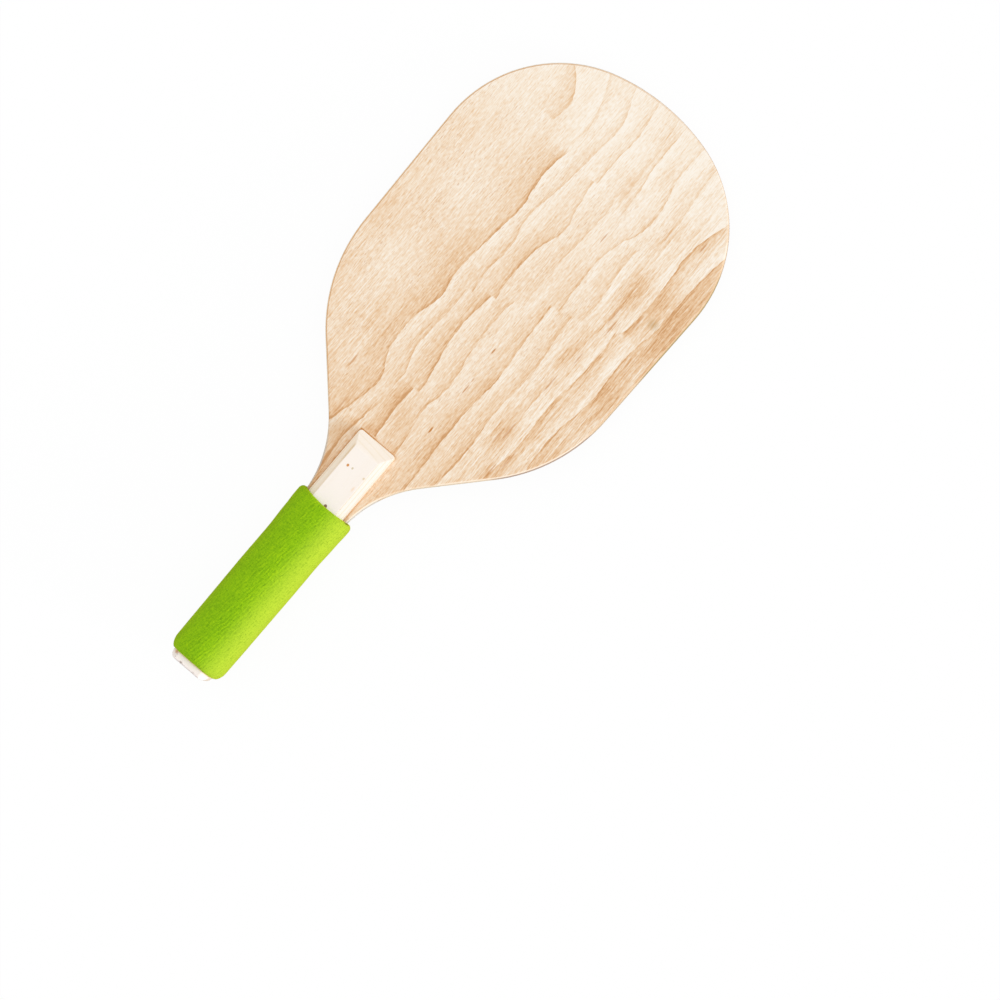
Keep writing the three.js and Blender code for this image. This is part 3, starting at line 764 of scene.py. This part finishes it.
def foam_finish(name):
    """Matte closed-cell foam, finely crinkled along the handle."""
    foam = Finish(
        name, Specular_IOR_Level=0.08, Sheen_Weight=0.5, Sheen_Roughness=0.4, Sheen_Tint=FOAM_SHEEN,
    )
    # Painted shadow in the sleeve's mouth, where the bore opens
    mouth_shadow = foam.spot(MOUTH_SHADOW_PLACE, MOUTH_SHADOW_SIZE, edge=0.6)
    turn = {"Vector": foam.place, "Axis": (1.0, 0.0, 0.0), "Angle": foam.x * -FOLD_TWIST}
    foam.place = foam.node("ShaderNodeVectorRotate", {}, turn)
    apart = foam.node("ShaderNodeSeparateXYZ", {}, {0: foam.place})
    around = apart.pick(1).math("ARCTAN2", apart.pick(1), apart.pick(2))
    sway = foam.grain((7, 6, 6), 51) * 9 + foam.grain((2.4, 2, 2), 55) * 5
    folded = foam.grain((4.5, 2.6, 2.6), 56).between(-0.2, 0.16)
    fold = around.math("SINE", around * FOLDS_AROUND + sway) * folded * 0.19
    cells = foam.grain((1.0, 0.62, 0.62), 52)
    weave = foam.grain((0.62, 2.4, 2.4), 54) + foam.grain((2.4, 0.62, 0.62), 57)
    cloud = foam.grain((30, 12, 12), 53, detail=2.0)
    wrinkled = foam.y.between(*WRINKLED_FAR_Y) * foam.y.between(*WRINKLED_NEAR_Y) * 0.75 + 0.25
    # The folds are painted darker in their troughs and paler on their crests, as painted shade and light
    tone = (0.5 + fold * wrinkled * 0.8 + cells * 0.55 + weave * 0.55 + cloud * 0.34).clamped()
    colour = foam.ramp(tone, [(0.1, FOAM_DEEP), (0.5, FOAM_LIME), (0.92, FOAM_LIGHT)])
    # Painted light: yellower, paler foam on the -Y side, where the lamp falls
    colour = foam.mix(foam.y.between(*LIT_SIDE_Y) * 0.8, colour, FOAM_LIT_YELLOW)
    # Painted shade in the creases on the lamp's -Y side
    crease_shade = (fold * 0.5 + cells * 0.5 + weave * 0.3).between(0.02, -0.2) * foam.y.between(*LIT_SIDE_Y)
    colour = foam.mix(crease_shade * 0.5, colour, FOAM_DEEP)
    colour = foam.mix(mouth_shadow * 0.9, colour, FOAM_SHADOW)
    top = abs(foam.normal()[2]).between(0.2, 0.75)
    relief = (fold * 1.3 * wrinkled + cells * 0.9 + weave * 0.9) * (top * 0.75 + 0.25)
    return foam.surface(colour, 0.86 + cells * 0.2, relief, FOAM_RELIEF)


def only(piece):
    """Selects this piece alone."""
    for thing in bpy.context.scene.objects:
        thing.select_set(thing is piece)
    bpy.context.view_layer.objects.active = piece


def welded_copy(node, name):
    """A copy of a CAD node, with its loose triangles joined into flat faces."""
    piece = bpy.data.objects.new(name, frame["nodes"][node].data.copy())
    bpy.context.scene.collection.objects.link(piece)
    piece.data.materials.clear()
    only(piece)
    bpy.ops.mesh.customdata_custom_splitnormals_clear()
    bpy.ops.object.mode_set(mode="EDIT")
    bpy.ops.mesh.select_all(action="SELECT")
    bpy.ops.mesh.remove_doubles(threshold=WELD)
    bpy.ops.mesh.dissolve_limited(angle_limit=FLAT_ANGLE)
    bpy.ops.object.mode_set(mode="OBJECT")
    return piece


def apply_modifier(piece, kind, **settings):
    only(piece)
    modifier = piece.modifiers.new(kind.title(), kind)
    for name, setting in settings.items():
        setattr(modifier, name, setting)
    bpy.ops.object.modifier_apply(modifier=modifier.name)


def bevel_by_weight(piece, width, steps):
    """Rounds the edges that have a bevel weight. width is the round at weight 1."""
    settings = {"limit_method": "WEIGHT", "width": width, "segments": steps, "use_clamp_overlap": False}
    apply_modifier(piece, "BEVEL", **settings)


def smoothed(piece):
    """Smooth shading over the rounds, with the flat faces kept flat."""
    only(piece)
    bpy.ops.object.shade_smooth_by_angle(angle=SMOOTH_ANGLE)
    apply_modifier(piece, "WEIGHTED_NORMAL", keep_sharp=True)


def finished(piece, node, material):
    piece.data.materials.append(material)
    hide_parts(node)
    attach(piece, "root")


def smooth_step(value, low, high):
    share = min(1.0, max(0.0, (value - low) / (high - low)))
    return share * share * (3 - 2 * share)


def move_level(piece, chosen, distance):
    """Moves the chosen vertices along Z, as by hand."""
    only(piece)
    bpy.ops.object.mode_set(mode="EDIT")
    bpy.ops.mesh.select_mode(type="VERT")
    bpy.ops.mesh.select_all(action="DESELECT")
    bpy.ops.object.mode_set(mode="OBJECT")
    for vertex in piece.data.vertices:
        vertex.select = chosen(vertex.co)
    bpy.ops.object.mode_set(mode="EDIT")
    bpy.ops.transform.translate(value=(0, 0, distance))
    bpy.ops.object.mode_set(mode="OBJECT")


def face_ply(crossband, node, name, side, material):
    """A face ply: the crossband's outline, moved out to the face, with its outer rim rounded by sanding.
    """
    piece = welded_copy(crossband, name)
    low, high = sorted({round(abs(v.co.z), 6) for v in piece.data.vertices})
    middle = (low + high) / 2
    move_level(piece, lambda co: abs(co.z) > middle, side * (BLADE_HALF - high))
    move_level(piece, lambda co: abs(co.z) < middle + PLY_MARGIN, side * (FACE_PLY_INNER - low))
    weights = piece.data.attributes.new("bevel_weight_edge", "FLOAT", "EDGE")
    for edge in piece.data.edges:
        ends = [piece.data.vertices[i].co for i in edge.vertices]
        if all(abs(abs(end.z) - BLADE_HALF) < WELD for end in ends):
            along = sum(end.x for end in ends) / 2
            weights.data[edge.index].value = smooth_step(along, RIM_ROUND_START, RIM_ROUND_FULL)
    bevel_by_weight(piece, RIM_ROUND, RIM_ROUND_STEPS)
    smoothed(piece)
    finished(piece, node, material)


def inner_ply(node, name, material):
    piece = welded_copy(node, name)
    smoothed(piece)
    finished(piece, node, material)


def cheek(node, name, material):
    """A cheek with its arrises softened by handling, most of all where the top rolls into the nose."""
    piece = welded_copy(node, name)
    only(piece)
    bpy.ops.object.mode_set(mode="EDIT")
    bpy.ops.mesh.select_mode(type="EDGE")
    bpy.ops.mesh.select_all(action="DESELECT")
    bpy.ops.mesh.edges_select_sharp(sharpness=ARRIS_ANGLE)
    bpy.ops.object.mode_set(mode="OBJECT")
    weights = piece.data.attributes.new("bevel_weight_edge", "FLOAT", "EDGE")
    for edge in piece.data.edges:
        ends = [piece.data.vertices[i].co for i in edge.vertices]
        if edge.select and not all(abs(end.z) < BLADE_HALF + WELD for end in ends):
            nose = all(end.x > NOSE_START - MM and abs(end.z) > HANDLE_HALF_HEIGHT - WELD for end in ends)
            weights.data[edge.index].value = 1.0 if nose else ARRIS_ROUND / NOSE_ROUND
    bevel_by_weight(piece, NOSE_ROUND, ARRIS_STEPS)
    smoothed(piece)
    finished(piece, node, material)


def wood_half_width(x):
    """Half the width of the tang under the foam."""
    return HANDLE_HALF_WIDTH + TANG_TAPER * x + max(0.0, x - THROAT_START) ** 2 / (2 * THROAT_RADIUS)


def bore_radius(across, up, x):
    """How far the bore's wall is from the axis in a direction: the wood's section with its slack."""
    across, up = abs(across), abs(up)
    side = wood_half_width(x) + SLEEVE_SLACK
    mitre = SLEEVE_SLACK * MITRE_SHARE
    corners = [
        (side, 0.0),
        (side, BLADE_HALF + SLEEVE_SLACK),
        (HANDLE_HALF_WIDTH + SLEEVE_SLACK, HANDLE_HALF_HEIGHT - CHEEK_CHAMFER + mitre),
        (HANDLE_HALF_WIDTH - CHEEK_CHAMFER + mitre, HANDLE_HALF_HEIGHT + SLEEVE_SLACK),
        (0.0, HANDLE_HALF_HEIGHT + SLEEVE_SLACK),
    ]
    for (y1, z1), (y2, z2) in zip(corners, corners[1:]):
        if z1 * across <= up * y1 and up * y2 <= z2 * across:
            return (y1 * z2 - y2 * z1) / (across * (z2 - z1) - up * (y2 - y1))
    return HANDLE_HALF_HEIGHT + SLEEVE_SLACK


def foam_noise(x, y, z, kind):
    """One of the sleeve's noises at a place. kind holds its lengths and its shift."""
    along, across, shift = kind
    return noise.noise(Vector((x / along, y / across, z / across + shift)))


def crinkle(x, y, z):
    """Height of the foam's folds at a place, in metres: fine creases along the handle on a slow swell."""
    slow = foam_noise(x, y, z, SWELL_NOISE)
    turn = FOLD_TWIST * x / MM
    y, z = y * cos(turn) + z * sin(turn), z * cos(turn) - y * sin(turn)
    bend = foam_noise(x, y, z, BEND_NOISE) * BEND_SIZE
    crease = abs(foam_noise(x, y + bend, z + bend, CREASE_NOISE)) - CREASE_MIDDLE
    fold = foam_noise(x, y, z, FOLD_NOISE)
    return (SWELL_HEIGHT * slow + CREASE_HEIGHT * crease + FOLD_HEIGHT * fold) * MM


def swell(x):
    """How much wider than even the sleeve is on each side at a distance from the butt."""
    x /= MM
    for (low, at_low), (high, at_high) in zip(SLEEVE_SWELL, SLEEVE_SWELL[1:]):
        if x <= high:
            return (at_low + (at_high - at_low) * smooth_step(x, low, high)) * MM
    return 0.0


def sleeve_ring(x, share):
    """One ring of the sleeve at a distance from the butt. share is 0 at the bore and 1 on the outside."""
    sweep = MOUTH_SWEEP * smooth_step(x, SLEEVE_END - MOUTH_SWEEP_RUN, SLEEVE_END)
    half_height = HANDLE_HALF_HEIGHT + SLEEVE_SLACK + SLEEVE_WALL
    ring = []
    for i in range(SLEEVE_AROUND):
        angle = tau * i / SLEEVE_AROUND
        across, up = cos(angle), sin(angle)
        swept = x + sweep * (across + MOUTH_SKEW) ** 2
        wood = wood_half_width(swept)
        half_width = wood + SLEEVE_SLACK + SLEEVE_WALL * (HANDLE_HALF_WIDTH / wood) ** 2 + swell(swept)
        inner = bore_radius(across, up, swept)
        outer = (
            (abs(across) / half_width) ** SLEEVE_SQUARENESS + (abs(up) / half_height) ** SLEEVE_SQUARENESS
        ) ** (-1 / SLEEVE_SQUARENESS)
        radius = inner + (outer - inner) * share
        if share > 0:
            radius += crinkle(swept, outer * across, outer * up) * share
        ring.append((swept, radius * across, radius * up))
    return ring


def foam_sleeve(material):
    """The foam tube, lofted through rings: forward along its outside and back along its bore."""
    def lip(end, length):
        angles = [pi / 2 * i / LIP_STEPS for i in range(LIP_STEPS)]
        return [(end + length * (1 - cos(a)), 1 - LIP_SHARE * (1 - sin(a))) for a in angles]

    start, end = SLEEVE_START + BUTT_LIP, SLEEVE_END - MOUTH_LIP
    body = [(start + (end - start) * i / SLEEVE_ALONG, 1.0) for i in range(SLEEVE_ALONG + 1)]
    outside = lip(SLEEVE_START, BUTT_LIP) + body + lip(SLEEVE_END, -MOUTH_LIP)[::-1]
    span = SLEEVE_START - SLEEVE_END
    bore = [(SLEEVE_END + span * i / BORE_STEPS, 0.0) for i in range(BORE_STEPS + 1)]
    rings = [sleeve_ring(x, share) for x, share in outside + bore]
    points = [point for ring in rings for point in ring]
    faces = []
    for row in range(len(rings)):
        low, high = row * SLEEVE_AROUND, (row + 1) % len(rings) * SLEEVE_AROUND
        for i in range(SLEEVE_AROUND):
            j = (i + 1) % SLEEVE_AROUND
            faces.append((low + i, low + j, high + j, high + i))
    mesh = bpy.data.meshes.new("foam_sleeve")
    mesh.from_pydata(points, [], faces)
    piece = bpy.data.objects.new("foam_sleeve", mesh)
    bpy.context.scene.collection.objects.link(piece)
    only(piece)
    bpy.ops.object.shade_smooth_by_angle(angle=SLEEVE_SMOOTH_ANGLE)
    finished(piece, "foam_grip", material)


def add_floor():
    """A floor that the racket's sleeve and crown rest on. It shows white and keeps the soft shadow."""
    for thing in bpy.context.scene.objects:
        thing.select_set(False)
    tilt = (0, -FLOOR_TILT, 0)
    bpy.ops.mesh.primitive_plane_add(size=FLOOR_SIZE, location=FLOOR_PLACE, rotation=tilt)
    floor = bpy.context.object
    floor.name = "floor"
    paint = Finish("white_floor", Roughness=0.9, Specular_IOR_Level=0.0)
    ray = paint.node("ShaderNodeLightPath", output="Is Camera Ray")
    seen = paint.mix(ray, FLOOR_GREY, WHITE)
    paint.tree.links.new(seen.socket, paint.shader.inputs["Base Color"])
    glow = paint.node("ShaderNodeEmission", {}, {"Color": WHITE, "Strength": 1.0})
    shader = Signal(paint, paint.shader.outputs[0])
    white = paint.node("ShaderNodeMixShader", {}, {0: ray * FLOOR_GLOW, 1: shader, 2: glow})
    paint.tree.links.new(white.socket, paint.tree.nodes["Material Output"].inputs["Surface"])
    floor.data.materials.append(paint.material)


def add_sun(name, strength, towards, angle):
    data = bpy.data.lights.new(name, "SUN")
    data.energy, data.angle = strength, angle
    lamp = bpy.data.objects.new(name, data)
    bpy.context.scene.collection.objects.link(lamp)
    lamp.rotation_euler = Vector(towards).to_track_quat("-Z", "Y").to_euler()


def add_light():
    """A pale sky all round, and one broad soft lamp low at the racket's -Y side."""
    world = bpy.data.worlds.new("sky")
    bpy.context.scene.world = world
    world.use_nodes = True
    nodes, links = world.node_tree.nodes, world.node_tree.links
    ray = nodes.new("ShaderNodeLightPath")
    strength = nodes.new("ShaderNodeMapRange")
    strength.inputs["To Min"].default_value = SKY_STRENGTH
    strength.inputs["To Max"].default_value = 1.0
    links.new(ray.outputs["Is Camera Ray"], strength.inputs["Value"])
    sky = nodes["Background"]
    sky.inputs["Color"].default_value = WHITE
    links.new(strength.outputs[0], sky.inputs["Strength"])
    add_sun("key", KEY_STRENGTH * pi, KEY_DIRECTION, KEY_SPREAD)


add_camera()
front_beech = beech_face("beech_front", 1)
back_beech = beech_face("beech_back", -1)
cross_wood = ply_edge("crossband", along_grain=False)
core_wood = ply_edge("beech_core", along_grain=True)
pale_wood = cheek_finish("cheek_wood")

face_ply("front_crossband", "front_face_veneer", "face_ply_front", 1, front_beech)
face_ply("back_crossband", "back_face_veneer", "face_ply_back", -1, back_beech)
inner_ply("front_crossband", "cross_ply_front", cross_wood)
inner_ply("back_crossband", "cross_ply_back", cross_wood)
inner_ply("core_veneer", "core_ply", core_wood)
cheek("front_cheek", "cheek_block_front", pale_wood)
cheek("back_cheek", "cheek_block_back", pale_wood)
foam_sleeve(foam_finish("grip_foam"))
add_floor()
add_light()

bpy.context.scene.view_settings.view_transform = "Standard"
